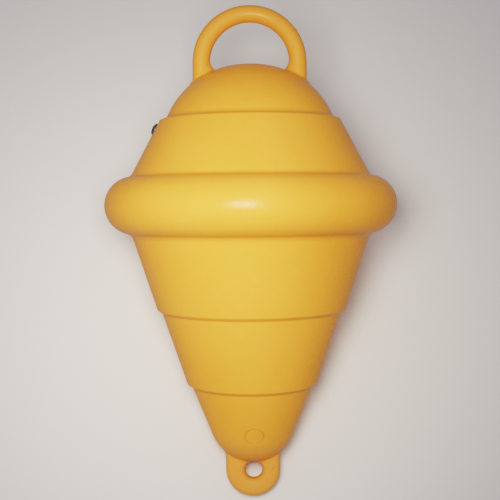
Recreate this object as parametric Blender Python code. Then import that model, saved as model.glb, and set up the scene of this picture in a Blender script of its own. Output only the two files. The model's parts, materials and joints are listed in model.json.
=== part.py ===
"""A biconical mooring buoy, blow moulded in one piece, and the plug that closes its filling hole.

Metres, +Z up. The buoy is drawn upright round its own axis, with heights counted from the middle
of the bumper ring and the front towards -Y. A parent empty then lays it on the floor the way it
comes to rest: on the ring and on an edge of the lower body, with the lug's flat side level.
"""

import math

import bmesh
import bpy
import numpy as np
from mathutils import Matrix, Vector

# Bumper ring
RING_RADIUS = 0.1600
RING_SECTION_RADIUS = 0.0316
RING_UPPER_CREASE = 0.0080
RING_LOWER_CREASE = 0.0105

# Dome and shoulder, above the ring
DOME_TOP = 0.1532
DOME_CROWN_RADIUS = 0.128
DOME_SIDE_RADIUS = 0.0937
DOME_CROWN_ANGLE = math.radians(8.2)
DOME_FOOT = 0.0956
SHOULDER_RADIUS = 0.0990
SHOULDER_SLOPE = math.radians(23.7)
SHOULDER_EDGE = 0.0015
UPPER_CONE_ANGLE = math.radians(28.0)

# Lower body, in three cones with a step between them
CONE_EDGE = 0.0013
STEP_SLOPE = math.radians(40)
CONE_1_ANGLE = math.radians(18.0)
CONE_1_FOOT_RADIUS = 0.1041
CONE_1_FOOT = -0.1145
STEP_1_DEPTH = 0.0053
CONE_2_ANGLE = math.radians(18.9)
CONE_2_FOOT = -0.1970
STEP_2_DEPTH = 0.0055
NOSE_RADIUS = 0.0485
NOSE_BOTTOM = -0.2848

# Handle over the dome
HANDLE_ARCH_RADIUS = 0.0529
HANDLE_ARCH_CENTRE = 0.1552
HANDLE_BAR_WIDTH = 0.0186
HANDLE_BAR_DEPTH = 0.0205
HANDLE_INNER_FILLET = 0.0085
HANDLE_OUTER_FILLET = 0.0040

# Lug and its eye under the nose, with drops counted from the nose's bottom and from the lug's end
LUG_HALF_WIDTH = 0.0298
LUG_THICKNESS = 0.0160
LUG_END_DROP = 0.0100
LUG_RIM_FILLET = 0.0060
LUG_ROOT_FILLET = 0.0170
EYE_RADIUS = 0.0096
EYE_FILLET = 0.0060
EYE_DROP = 0.0007
EYE_OFFSET = 0.0009

# Round mark that the mould's insert leaves low on the front, at a height over the nose's bottom
MARK_RADIUS = 0.0107
MARK_RISE = 0.0368
MARK_OFFSET = 0.0017
MARK_GROOVE_WIDTH = 0.0012
MARK_GROOVE_DEPTH = 0.0004

# Filling hole and its plug, on the left of the upper cone
PLUG_HEIGHT = 0.0831
PLUG_HEAD_RADIUS = 0.0071
PLUG_HEAD_PROUD = 0.0040
PLUG_RIM_THICKNESS = 0.0010
PLUG_STEM_RADIUS = 0.0042
PLUG_STEM_LENGTH = 0.0125
PLUG_TIP_BEVEL = 0.0010
PLUG_BARB_PROUD = 0.0005
PLUG_BARBS = 3
SEAT_MARGIN = 0.0012
SEAT_DEPTH = 0.0005
CLEARANCE = 0.0003

# Each barb on the stem: where it starts, where it is widest and where it ends, as shares of the pitch
BARB_START = 0.8
BARB_WIDEST = 0.9
BARB_END = 1.4

# Fineness of the round stretches
LATHE_STEPS = 60
RING_STEPS = 7
EDGE_STEPS = 2
DOME_STEPS = 7
NOSE_STEPS = 6
ARCH_STEPS = 22
BAR_STEPS = 16
ROOT_STEPS = 9
LUG_STEPS = 16
RIM_STEPS = 4
EYE_STEPS = 24
MARK_STEPS = 32
PLUG_STEPS = 28
PLUG_DOME_STEPS = 6
SHARP_ANGLE = math.radians(35)

# Share of a fillet, and angle round one, that is left out where it would run level with the wall
FILLET_SKIP = 0.12

# How far blanks reach into each other, cutters past the wall, and the eye's rim past the lug's face
OVERLAP = 0.004
EYE_LIP = 0.0002


# Small geometry helpers

def arc(centre, radius, start, end, steps):
    """Points along an arc, both ends included, with angles counted from the radius axis."""
    points = []
    for i in range(steps + 1):
        angle = start + (end - start) * i / steps
        points.append(centre + radius * Vector((math.cos(angle), math.sin(angle))))
    return points


def short_arc(centre, start, end, steps):
    """Points from start to end round the centre, the short way."""
    first, last = start - centre, end - centre
    turn = math.atan2(first.cross(last), first.dot(last))
    begin = math.atan2(first.y, first.x)
    return arc(centre, first.length, begin, begin + turn, steps)


def rounded(before, corner, after, radius, steps):
    """The arc that rounds a corner between two straight lines."""
    back = (before - corner).normalized()
    ahead = (after - corner).normalized()
    half = back.angle(ahead) / 2
    centre = corner + (back + ahead).normalized() * radius / math.sin(half)
    reach = radius / math.tan(half)
    return short_arc(centre, corner + back * reach, corner + ahead * reach, steps)


def upwards(angle):
    """Direction up the side of a lower cone that leans out by this angle from the axis."""
    return Vector((math.sin(angle), math.cos(angle)))


def crease(edge, along, radius):
    """The arc that blends a cone, from its edge along a direction, into the ring's round section."""
    outward = Vector((abs(along.y), -along.x * math.copysign(1, along.y)))
    base = edge + outward * radius - ring_centre()
    reach = RING_SECTION_RADIUS + radius
    middle = base.dot(along)
    distance = -middle - math.sqrt(middle * middle - base.length_squared + reach * reach)
    centre = ring_centre() + base + along * distance
    on_ring = ring_centre() + (centre - ring_centre()) * RING_SECTION_RADIUS / reach
    return short_arc(centre, centre - outward * radius, on_ring, EDGE_STEPS + 1)


# The turned outline, as radius and height

def ring_centre():
    return Vector((RING_RADIUS - RING_SECTION_RADIUS, 0))


def dome_crown_centre():
    return Vector((0, DOME_TOP - DOME_CROWN_RADIUS))


def dome_side_centre():
    lean = Vector((math.sin(DOME_CROWN_ANGLE), math.cos(DOME_CROWN_ANGLE)))
    return dome_crown_centre() + lean * (DOME_CROWN_RADIUS - DOME_SIDE_RADIUS)


def shoulder():
    """The dome's foot and the shoulder's edge."""
    side = dome_side_centre()
    foot_angle = math.asin((DOME_FOOT - side.y) / DOME_SIDE_RADIUS)
    foot = Vector((side.x + DOME_SIDE_RADIUS * math.cos(foot_angle), DOME_FOOT))
    drop = (SHOULDER_RADIUS - foot.x) * math.tan(SHOULDER_SLOPE)
    return foot, foot_angle, Vector((SHOULDER_RADIUS, DOME_FOOT - drop))


def nose_centre():
    return Vector((0, NOSE_BOTTOM + NOSE_RADIUS))


def lower_edges():
    """The outer and inner corner of each step, from the top down."""
    step = Vector((-1, -math.tan(STEP_SLOPE)))
    first = Vector((CONE_1_FOOT_RADIUS, CONE_1_FOOT))
    first_in = first + step * STEP_1_DEPTH
    second_radius = first_in.x - (first_in.y - CONE_2_FOOT) * math.tan(CONE_2_ANGLE)
    second = Vector((second_radius, CONE_2_FOOT))
    return first, first_in, second, second + step * STEP_2_DEPTH


def nose_angle(edge):
    """Lean of the line from this corner that runs tangent into the nose."""
    across = edge - nose_centre()
    return math.atan2(across.x, across.y) - math.asin(NOSE_RADIUS / across.length)


def outline():
    """Every point of the turned outline, from the dome's top to the nose's bottom."""
    foot, foot_angle, shoulder_edge = shoulder()
    first, first_in, second, second_in = lower_edges()
    up_1, up_2 = upwards(CONE_1_ANGLE), upwards(CONE_2_ANGLE)
    down_upper = Vector((math.sin(UPPER_CONE_ANGLE), -math.cos(UPPER_CONE_ANGLE)))
    upper_crease = crease(shoulder_edge, down_upper, RING_UPPER_CREASE)
    lower_crease = crease(first, up_1, RING_LOWER_CREASE)
    ring_top = upper_crease[-1] - ring_centre()
    ring_bottom = lower_crease[-1] - ring_centre()
    top_angle = math.atan2(ring_top.y, ring_top.x)
    bottom_angle = math.atan2(ring_bottom.y, ring_bottom.x)
    lean = nose_angle(second_in)
    below = second_in - upwards(lean)
    right_angle = math.pi / 2

    crown_end = right_angle - DOME_CROWN_ANGLE
    points = arc(dome_crown_centre(), DOME_CROWN_RADIUS, right_angle, crown_end, EDGE_STEPS)
    points += arc(dome_side_centre(), DOME_SIDE_RADIUS, crown_end, foot_angle, DOME_STEPS)[1:]
    points += rounded(foot, shoulder_edge, shoulder_edge + down_upper, SHOULDER_EDGE, EDGE_STEPS)
    points += upper_crease
    points += arc(ring_centre(), RING_SECTION_RADIUS, top_angle, 0, RING_STEPS)[1:]
    points += arc(ring_centre(), RING_SECTION_RADIUS, 0, bottom_angle, RING_STEPS)[1:-1]
    points += reversed(lower_crease)
    points += rounded(first + up_1, first, first_in, CONE_EDGE, EDGE_STEPS)
    points += rounded(first, first_in, second, CONE_EDGE, EDGE_STEPS)
    points += rounded(second + up_2, second, second_in, CONE_EDGE, EDGE_STEPS)
    points += rounded(second, second_in, below, CONE_EDGE, EDGE_STEPS)
    points += arc(nose_centre(), NOSE_RADIUS, -lean, -right_angle, NOSE_STEPS)
    points[0].x = points[-1].x = 0
    return points


# Building blocks for the meshes

def add_object(name, mesh, colour, roughness):
    """An object with its own material, shaded smooth but for its sharp edges."""
    mesh.shade_smooth()
    mesh.set_sharp_from_angle(angle=SHARP_ANGLE)
    part = bpy.data.objects.new(name, mesh)
    bpy.context.scene.collection.objects.link(part)
    material = bpy.data.materials.new(name)
    material.use_nodes = True
    shader = material.node_tree.nodes["Principled BSDF"]
    shader.inputs["Base Color"].default_value = (*colour, 1)
    shader.inputs["Roughness"].default_value = roughness
    shader.inputs["Metallic"].default_value = 0
    mesh.materials.append(material)
    return part


def add_helper(name, mesh):
    """An object that only takes part in a Boolean."""
    helper = bpy.data.objects.new(name, mesh)
    bpy.context.scene.collection.objects.link(helper)
    helper.hide_render = True
    helper.display_type = "WIRE"
    return helper


def combine(part, other, operation):
    """Adds a Boolean that joins or cuts part with another object."""
    modifier = part.modifiers.new(other.name, "BOOLEAN")
    modifier.object = other
    modifier.operation = operation
    modifier.solver = "EXACT"


def finished(bm, name):
    """A mesh from the bmesh, closed at its seams and facing out."""
    bmesh.ops.remove_doubles(bm, verts=bm.verts, dist=1e-6)
    bmesh.ops.recalc_face_normals(bm, faces=bm.faces)
    mesh = bpy.data.meshes.new(name)
    bm.to_mesh(mesh)
    bm.free()
    return mesh


def lathe(name, points, steps, turn=0.0):
    """Turns an outline of radius and height round Z, starting this far round."""
    bm = bmesh.new()
    start = Matrix.Rotation(turn, 3, "Z")
    verts = [bm.verts.new(start @ Vector((point[0], 0, point[1]))) for point in points]
    edges = [bm.edges.new(pair) for pair in zip(verts, verts[1:])]
    bmesh.ops.spin(
        bm, geom=verts + edges, cent=(0, 0, 0), axis=(0, 0, 1), angle=2 * math.pi, steps=steps, use_merge=True
    )
    return finished(bm, name)


def loft(name, loops):
    """Skins equal closed loops of points one after another and caps the first and the last."""
    bm = bmesh.new()
    rows = [[bm.verts.new(point) for point in loop] for loop in loops]
    for one, two in zip(rows, rows[1:]):
        for i in range(len(one)):
            bm.faces.new((one[i - 1], one[i], two[i], two[i - 1]))
    bm.faces.new(rows[0])
    bm.faces.new(reversed(rows[-1]))
    return finished(bm, name)


# Handle

def dome_distance(point):
    """How far a point lies outside the dome's side."""
    side = dome_side_centre()
    return math.hypot(math.hypot(point.x, point.y) - side.x, point.z - side.y) - DOME_SIDE_RADIUS


def flare(distance, fillet):
    """How far a fillet of this radius stands off a wall at this distance from its root."""
    near = max(distance, FILLET_SKIP * fillet)
    if near >= fillet:
        return 0
    return fillet - math.sqrt(fillet ** 2 - (fillet - near) ** 2)


def handle_section(place, inward):
    """A loop round the bar at one place, swollen near the dome."""
    loop = []
    for i in range(BAR_STEPS):
        angle = 2 * math.pi * (i + 0.5) / BAR_STEPS
        offset = inward * (math.cos(angle) * HANDLE_BAR_WIDTH / 2)
        offset += Vector((0, math.sin(angle) * HANDLE_BAR_DEPTH / 2, 0))
        share = max(0, math.cos(angle)) ** 2
        fillet = HANDLE_OUTER_FILLET + (HANDLE_INNER_FILLET - HANDLE_OUTER_FILLET) * share
        point = place + offset
        loop.append(point + offset.normalized() * flare(dome_distance(point), fillet))
    return loop


def leg_heights():
    """Heights of the loops on a leg, from inside the dome to just short of the arch."""
    outer = HANDLE_ARCH_RADIUS + HANDLE_BAR_WIDTH / 2 + OVERLAP
    side = dome_side_centre()
    low = side.y + math.sqrt(DOME_SIDE_RADIUS ** 2 - (outer - side.x) ** 2) - OVERLAP
    rise = (HANDLE_ARCH_CENTRE - low) / ROOT_STEPS
    return [low - OVERLAP] + [low + rise * i for i in range(ROOT_STEPS)]


def make_handle():
    """The arched bar with a straight leg at each end, swept as one loft."""
    right = Vector((1, 0, 0))
    loops = [handle_section(Vector((-HANDLE_ARCH_RADIUS, 0, z)), right) for z in leg_heights()]
    for i in range(ARCH_STEPS + 1):
        angle = math.pi * (1 - i / ARCH_STEPS)
        out = Vector((math.cos(angle), 0, math.sin(angle)))
        loops.append(handle_section(Vector((0, 0, HANDLE_ARCH_CENTRE)) + out * HANDLE_ARCH_RADIUS, -out))
    loops += [handle_section(Vector((HANDLE_ARCH_RADIUS, 0, z)), -right) for z in reversed(leg_heights())]
    return add_helper("handle_blank", loft("handle_blank", loops))


# Lug

def lug_outline(inset):
    """The lug's outline seen from the front, drawn in by an inset, as a loop in X and Z."""
    width = LUG_HALF_WIDTH - inset
    fillet = LUG_ROOT_FILLET + inset
    root_x = LUG_HALF_WIDTH + LUG_ROOT_FILLET
    nose = nose_centre()
    root = Vector((root_x, nose.y - math.sqrt((NOSE_RADIUS + LUG_ROOT_FILLET) ** 2 - root_x ** 2)))
    to_nose = math.atan2(nose.y - root.y, nose.x - root.x)
    side = arc(root, fillet, to_nose + FILLET_SKIP, math.pi, RIM_STEPS)
    top = side[0] + Vector((-OVERLAP, 2 * OVERLAP))
    end = arc(Vector((0, NOSE_BOTTOM - LUG_END_DROP)), width, 0, -math.pi, LUG_STEPS)
    right = [top] + side
    left = [Vector((-point.x, point.y)) for point in reversed(right)]
    return right + end + left


def make_lug():
    """The flat lug with rounded rims, and its eye cut through."""
    half = LUG_THICKNESS / 2
    rims = []
    for i in range(RIM_STEPS + 1):
        angle = math.pi / 2 * i / RIM_STEPS
        inset = LUG_RIM_FILLET * (1 - math.sin(angle))
        rims.append((inset, half - LUG_RIM_FILLET * (1 - math.cos(angle))))
    sections = [(inset, -y) for inset, y in rims] + [(inset, y) for inset, y in reversed(rims)]
    loops = [[Vector((p.x, y, p.y)) for p in lug_outline(inset)] for inset, y in sections]
    lug = add_helper("lug_blank", loft("lug_blank", loops))

    wide = EYE_RADIUS + EYE_FILLET
    bore = []
    for i in range(RIM_STEPS):
        angle = math.pi / 2 * i / RIM_STEPS
        radius = wide - EYE_FILLET * math.cos(angle)
        bore.append((radius, half - EYE_FILLET + EYE_FILLET * math.sin(angle)))
    bore.append((wide + EYE_LIP, half + EYE_LIP))
    bore.append((wide + EYE_LIP, half + OVERLAP))
    lower = [(radius, -height) for radius, height in reversed(bore)]
    points = [(0, -half - OVERLAP)] + lower + bore + [(0, half + OVERLAP)]
    cutter = add_helper("eye_cutter", lathe("eye_cutter", list(reversed(points)), EYE_STEPS))
    cutter.rotation_euler.x = math.pi / 2
    cutter.location = (EYE_OFFSET, 0, NOSE_BOTTOM - LUG_END_DROP - EYE_DROP)
    combine(lug, cutter, "DIFFERENCE")
    return lug, cutter


# Insert mark

def cone_3_radius(height):
    """Radius of the lowest cone or of the nose at a height."""
    corner = lower_edges()[3]
    lean = nose_angle(corner)
    if height > nose_centre().y - NOSE_RADIUS * math.sin(lean):
        return corner.x - (corner.y - height) * math.tan(lean)
    return math.sqrt(NOSE_RADIUS ** 2 - (height - nose_centre().y) ** 2)


def make_mark_cutter():
    """A thin closed tube that lies on the cone's front along a circle, and cuts its groove."""
    lean = nose_angle(lower_edges()[3])
    up = Vector((0, -math.sin(lean), math.cos(lean)))
    out = Vector((0, -math.cos(lean), -math.sin(lean)))
    height = NOSE_BOTTOM + MARK_RISE
    centre = Vector((MARK_OFFSET, -cone_3_radius(height), height))
    bm = bmesh.new()
    rows = []
    for i in range(MARK_STEPS):
        angle = 2 * math.pi * i / MARK_STEPS
        ray = Vector((math.cos(angle), 0, 0)) + up * math.sin(angle)
        flat = centre + ray * MARK_RADIUS
        depth = math.sqrt(cone_3_radius(flat.z) ** 2 - flat.x ** 2)
        on_skin = Vector((flat.x, -depth, flat.z))
        above = on_skin + out * MARK_GROOVE_DEPTH
        half = ray * MARK_GROOVE_WIDTH / 2
        corners = (on_skin - out * MARK_GROOVE_DEPTH, above + half, on_skin + out * OVERLAP, above - half)
        rows.append([bm.verts.new(corner) for corner in corners])
    for i in range(MARK_STEPS):
        one, two = rows[i - 1], rows[i]
        for j in range(len(one)):
            bm.faces.new((one[j - 1], one[j], two[j], two[j - 1]))
    return add_helper("mark_cutter", finished(bm, "mark_cutter"))


# Plug and its seat

def plug_frame():
    """Places the plug's own Z along the cone's normal, with its origin on the skin at the left."""
    _, _, edge = shoulder()
    radius = edge.x + (edge.y - PLUG_HEIGHT) * math.tan(UPPER_CONE_ANGLE)
    place = Vector((-radius, 0, PLUG_HEIGHT))
    turn = Matrix.Rotation(UPPER_CONE_ANGLE - math.pi / 2, 4, "Y")
    return Matrix.Translation(place) @ turn


def make_seat_cutter():
    """Cuts the flat seat under the plug's head and the blind hole for its stem."""
    seat = PLUG_HEAD_RADIUS + SEAT_MARGIN
    hole = PLUG_STEM_RADIUS + PLUG_BARB_PROUD + CLEARANCE
    depth = SEAT_DEPTH + PLUG_STEM_LENGTH + CLEARANCE
    points = [(0, OVERLAP), (seat, OVERLAP), (seat, -SEAT_DEPTH), (hole, -SEAT_DEPTH), (hole, -depth), (0, -depth)]
    cutter = add_helper("seat_cutter", lathe("seat_cutter", points, PLUG_STEPS))
    cutter.matrix_world = plug_frame()
    return cutter


def make_plug():
    """A push-in plug: domed head, thin rim and a barbed stem."""
    under = CLEARANCE - SEAT_DEPTH
    dome = PLUG_HEAD_PROUD - under - PLUG_RIM_THICKNESS
    points = []
    for i in range(PLUG_DOME_STEPS + 1):
        angle = math.pi / 2 * (1 - i / PLUG_DOME_STEPS)
        radius = (PLUG_HEAD_RADIUS - CLEARANCE) * math.cos(angle)
        points.append((radius, under + PLUG_RIM_THICKNESS + dome * math.sin(angle)))
    points.append((PLUG_HEAD_RADIUS, under + PLUG_RIM_THICKNESS))
    points.append((PLUG_HEAD_RADIUS, under))
    points.append((PLUG_STEM_RADIUS, under))
    pitch = (PLUG_STEM_LENGTH - CLEARANCE) / (PLUG_BARBS + 1)
    for i in range(PLUG_BARBS):
        points.append((PLUG_STEM_RADIUS, under - pitch * (i + BARB_START)))
        points.append((PLUG_STEM_RADIUS + PLUG_BARB_PROUD, under - pitch * (i + BARB_WIDEST)))
        points.append((PLUG_STEM_RADIUS, under - pitch * (i + BARB_END)))
    tip = -SEAT_DEPTH - PLUG_STEM_LENGTH + CLEARANCE
    points.append((PLUG_STEM_RADIUS, tip + PLUG_TIP_BEVEL))
    points.append((PLUG_STEM_RADIUS - PLUG_TIP_BEVEL, tip))
    points.append((0, tip))
    points[0] = (0, points[0][1])
    plug = add_object("filler_plug", lathe("filler_plug", points, PLUG_STEPS), (0.030, 0.032, 0.040), 0.25)
    plug.matrix_world = plug_frame()
    return plug


# Rest on the floor

def evaluated_triangles(part):
    """Corner points of the object's finished mesh, as an array of triangles in the upright frame."""
    graph = bpy.context.evaluated_depsgraph_get()
    shown = part.evaluated_get(graph)
    mesh = shown.to_mesh()
    mesh.calc_loop_triangles()
    corners = [
        [shown.matrix_world @ mesh.vertices[i].co for i in triangle.vertices] for triangle in mesh.loop_triangles
    ]
    shown.to_mesh_clear()
    return np.array(corners)


def centre_of_mass(triangles):
    """Centre of the solid that the triangles close."""
    a, b, c = triangles[:, 0], triangles[:, 1], triangles[:, 2]
    volumes = np.einsum("ij,ij->i", a, np.cross(b, c)) / 6
    return ((a + b + c) / 4 * volumes[:, None]).sum(axis=0) / volumes.sum()


def back_hull(triangles):
    """The convex outline of the buoy's back in side view, as height and depth, from low to high."""
    points = sorted({(round(z, 7), round(y, 7)) for _, y, z in triangles.reshape(-1, 3)})
    hull = []
    for z, y in points:
        while len(hull) > 1:
            (z1, y1), (z2, y2) = hull[-2:]
            if (z2 - z1) * (y - y1) < (y2 - y1) * (z - z1):
                break
            hull.pop()
        hull.append((z, y))
    return hull


def rest_lean(triangles):
    """Angle between the buoy's axis and the floor when it lies on its back."""
    centre = centre_of_mass(triangles)
    hull = back_hull(triangles)
    best = None
    for (z1, y1), (z2, y2) in zip(hull, hull[1:]):
        along = Vector((z2 - z1, y2 - y1)).normalized()
        offset = Vector((centre[2] - z1, centre[1] - y1))
        if 0 <= offset.dot(along) <= math.hypot(z2 - z1, y2 - y1):
            height = abs(offset.cross(along))
            if best is None or height < best[0]:
                best = (height, math.atan2(y1 - y2, z2 - z1))
    return -best[1]


def lay_down(parts, helpers):
    """Parents everything to an empty that lays the buoy on the floor, over the origin."""
    triangles = np.concatenate([evaluated_triangles(part) for part in parts])
    lean = rest_lean(triangles)
    turn = Matrix.Rotation(lean - math.pi / 2, 3, "X")
    lying = triangles.reshape(-1, 3) @ np.array(turn).T
    low, high = lying.min(axis=0), lying.max(axis=0)
    rest = bpy.data.objects.new("lying_at_rest", None)
    bpy.context.scene.collection.objects.link(rest)
    for member in parts + helpers:
        member.parent = rest
    rest.rotation_euler.x = lean - math.pi / 2
    rest.location = (-(low[0] + high[0]) / 2, -(low[1] + high[1]) / 2, -low[2])


def main():
    for old in list(bpy.data.objects):
        bpy.data.objects.remove(old)
    turn = math.pi / LATHE_STEPS
    body = add_object("buoy_body", lathe("buoy_body", outline(), LATHE_STEPS, turn), (0.863, 0.584, 0.070), 0.42)
    handle = make_handle()
    lug, eye = make_lug()
    seat = make_seat_cutter()
    mark = make_mark_cutter()
    plug = make_plug()
    bpy.context.view_layer.update()
    combine(body, handle, "UNION")
    combine(body, lug, "UNION")
    combine(body, seat, "DIFFERENCE")
    combine(body, mark, "DIFFERENCE")
    lay_down([body, plug], [handle, lug, eye, seat, mark])


main()
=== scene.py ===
"""A biconical mooring buoy, dressed for its photograph.

The buoy is drawn upright round its own axis, with heights counted from the middle of the bumper ring and the
front towards -Y. One transform, read from the record's lug face, then lays every piece down where the frame
lies.
"""

import json
import logging
import math
from collections.abc import Sequence
from dataclasses import dataclass, field
from enum import Enum

import bmesh
import bpy
from mathutils import Matrix, Vector
from mathutils.bvhtree import BVHTree
from mathutils.interpolate import poly_3d_calc


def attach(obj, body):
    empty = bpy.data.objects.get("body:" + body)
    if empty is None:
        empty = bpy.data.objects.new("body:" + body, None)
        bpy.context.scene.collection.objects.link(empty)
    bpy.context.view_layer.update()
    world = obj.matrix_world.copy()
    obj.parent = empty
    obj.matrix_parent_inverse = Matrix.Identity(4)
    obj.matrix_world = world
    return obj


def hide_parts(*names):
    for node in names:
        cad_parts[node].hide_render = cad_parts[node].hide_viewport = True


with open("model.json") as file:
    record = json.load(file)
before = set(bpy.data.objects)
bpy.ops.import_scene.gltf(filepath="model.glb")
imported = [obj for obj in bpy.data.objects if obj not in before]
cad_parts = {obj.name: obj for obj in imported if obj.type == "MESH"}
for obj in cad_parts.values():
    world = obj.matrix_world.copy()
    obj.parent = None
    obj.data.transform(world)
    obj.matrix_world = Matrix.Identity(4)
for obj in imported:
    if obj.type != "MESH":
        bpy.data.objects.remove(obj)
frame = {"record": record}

MM = 0.001
QUARTER = math.pi / 2
log = logging.getLogger("buoy")


# Colours and nodes

def linear(hex_colour: str) -> tuple[float, float, float, float]:
    """Turns an sRGB hex colour into linear values.

    Args:
        hex_colour: Six hex digits after a hash.

    Returns:
        Red, green, blue and an alpha of 1.
    """
    channels = []
    for i in (1, 3, 5):
        value = int(hex_colour[i:i + 2], 16) / 255
        channels.append(value / 12.92 if value <= 0.04045 else ((value + 0.055) / 1.055) ** 2.4)
    return (*channels, 1.0)


def per_metre(size_mm: float) -> float:
    """Turns the size of a pattern in millimetres into the scale that a texture in metres takes."""
    return 1 / (size_mm * MM)


def add_node(
    tree: bpy.types.NodeTree, kind: str, settings: dict[str, object], links: dict[str, bpy.types.NodeSocket]
) -> bpy.types.Node:
    """Adds a node with its settings and links.

    Args:
        tree: The material's node tree.
        kind: The node's type, such as ShaderNodeTexNoise.
        settings: Values by the name of an attribute or of an input.
        links: Sockets to join to the node's inputs, by the input's name or number.

    Returns:
        The node.
    """
    node = tree.nodes.new(kind)
    for name, value in settings.items():
        if hasattr(node, name):
            setattr(node, name, value)
        else:
            node.inputs[int(name) if name.isdigit() else name].default_value = value
    for name, socket in links.items():
        tree.links.new(socket, node.inputs[int(name) if name.isdigit() else name])
    return node


def new_material(name: str) -> tuple[bpy.types.Material, bpy.types.NodeTree, bpy.types.Node]:
    """Makes a material with an empty Principled shader.

    Args:
        name: The material's name.

    Returns:
        The material, its node tree and its shader node.
    """
    material = bpy.data.materials.new(name)
    material.use_nodes = True
    tree = material.node_tree
    return material, tree, tree.nodes["Principled BSDF"]


def upright_coordinates(tree: bpy.types.NodeTree) -> bpy.types.NodeSocket:
    """Gives a material the upright drawing's own coordinates, in metres.

    Args:
        tree: The material's node tree.

    Returns:
        The socket that carries them.
    """
    rest = RestPose().matrix()
    lying = add_node(tree, "ShaderNodeTexCoord", {}, {}).outputs["Object"]
    drawn = {"vector_type": "TEXTURE", "Location": rest.translation, "Rotation": rest.to_euler()}
    return add_node(tree, "ShaderNodeMapping", drawn, {"Vector": lying}).outputs["Vector"]


def lay_down(piece: bpy.types.Object, rest: Matrix, node: str) -> None:
    """Lays a finished piece where the frame lies, in place of the frame's own node.

    Args:
        piece: The piece, drawn upright.
        rest: The transform that lays it down.
        node: The frame's node that it stands for, and the record's slot of the same name.
    """
    piece.data.transform(rest)
    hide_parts(node)
    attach(piece, "root")


# Lines and meshes

def arc(centre: Vector, radius: float, start: float, end: float, steps: int) -> list[Vector]:
    """Draws an arc.

    Args:
        centre: Its centre, as radius and height.
        radius: Its radius.
        start: Angle of its first point, counted from the radius axis.
        end: Angle of its last point.
        steps: How many straight runs it has.

    Returns:
        Its points, both ends included.
    """
    angles = [start + (end - start) * i / steps for i in range(steps + 1)]
    return [centre + radius * Vector((math.cos(angle), math.sin(angle))) for angle in angles]


def full_turn(steps: int) -> list[float]:
    """Spaces angles evenly round a circle, from 0."""
    return [2 * math.pi * i / steps for i in range(steps)]


def short_arc(centre: Vector, start: Vector, end: Vector, steps: int) -> list[Vector]:
    """Draws the shorter arc from one point to another round a centre.

    Args:
        centre: The arc's centre.
        start: Its first point.
        end: Its last point.
        steps: How many straight runs it has.

    Returns:
        Its points, both ends included.
    """
    first, last = start - centre, end - centre
    turn = math.atan2(first.cross(last), first.dot(last))
    begin = math.atan2(first.y, first.x)
    return arc(centre, first.length, begin, begin + turn, steps)


def rounded(before: Vector, corner: Vector, after: Vector, radius: float, steps: int) -> list[Vector]:
    """Rounds a corner between two straight lines.

    Args:
        before: A point on the line into the corner.
        corner: The corner.
        after: A point on the line out of the corner.
        radius: The fillet's radius.
        steps: How many straight runs it has.

    Returns:
        The fillet's points.
    """
    back, ahead = (before - corner).normalized(), (after - corner).normalized()
    half = back.angle(ahead) / 2
    centre = corner + (back + ahead).normalized() * radius / math.sin(half)
    reach = radius / math.tan(half)
    return short_arc(centre, corner + back * reach, corner + ahead * reach, steps)


def filled_in(points: Sequence[Vector], pitch: float) -> list[Vector]:
    """Puts extra points on the long runs of a line.

    Args:
        points: The line.
        pitch: The longest run that is left as it is.

    Returns:
        The line with its extra points.
    """
    line = [points[0]]
    for one, two in zip(points, points[1:]):
        runs = max(1, math.ceil((two - one).length / pitch))
        line += [one.lerp(two, i / runs) for i in range(1, runs + 1)]
    return line


class Ends(Enum):
    """How a skin closes after its last row."""

    FLAT = "a flat face on each end row"
    POLES = "a fan at each end, whose row is one point repeated"
    LOOP = "the last row runs on into the first"


def skin(name: str, rows: Sequence[Sequence[Vector]], ends: Ends) -> bpy.types.Object:
    """Skins closed rows of points one after another.

    Args:
        name: The new object's name.
        rows: Rows of equally many points.
        ends: How the skin closes.

    Returns:
        A closed object, smooth shaded, with its faces outwards.
    """
    bm = bmesh.new()
    grid = [[bm.verts.new(point) for point in row] for row in rows]
    pairs = list(zip(grid, grid[1:]))
    if ends is Ends.LOOP:
        pairs.append((grid[-1], grid[0]))
    for one, two in pairs:
        for i in range(len(one)):
            bm.faces.new((one[i - 1], one[i], two[i], two[i - 1]))
    if ends is Ends.POLES:
        bmesh.ops.remove_doubles(bm, verts=grid[0] + grid[-1], dist=1e-7)
    if ends is Ends.FLAT:
        bm.faces.new(grid[0])
        bm.faces.new(reversed(grid[-1]))
    bmesh.ops.recalc_face_normals(bm, faces=bm.faces)
    mesh = bpy.data.meshes.new(name)
    bm.to_mesh(mesh)
    bm.free()
    mesh.shade_smooth()
    made = bpy.data.objects.new(name, mesh)
    bpy.context.scene.collection.objects.link(made)
    return made


def pebble(name: str, centre: Vector, across: Vector, along: Vector, up: Vector) -> bpy.types.Object:
    """Makes a small ellipsoid.

    Args:
        name: The new object's name.
        centre: Its middle.
        across: Its first half axis.
        along: Its second half axis.
        up: Its third half axis.

    Returns:
        The closed object.
    """
    levels, columns = 8, 20
    rows = []
    for i in range(levels + 1):
        angle = -QUARTER + math.pi * i / levels
        turns = full_turn(columns)
        flat = [(across * math.cos(turn) + along * math.sin(turn)) * math.cos(angle) for turn in turns]
        rows.append([centre + up * math.sin(angle) + point for point in flat])
    return skin(name, rows, Ends.POLES)


class Joint(Enum):
    """How one blank meets another."""

    JOINED = "UNION"
    CUT = "DIFFERENCE"


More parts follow.
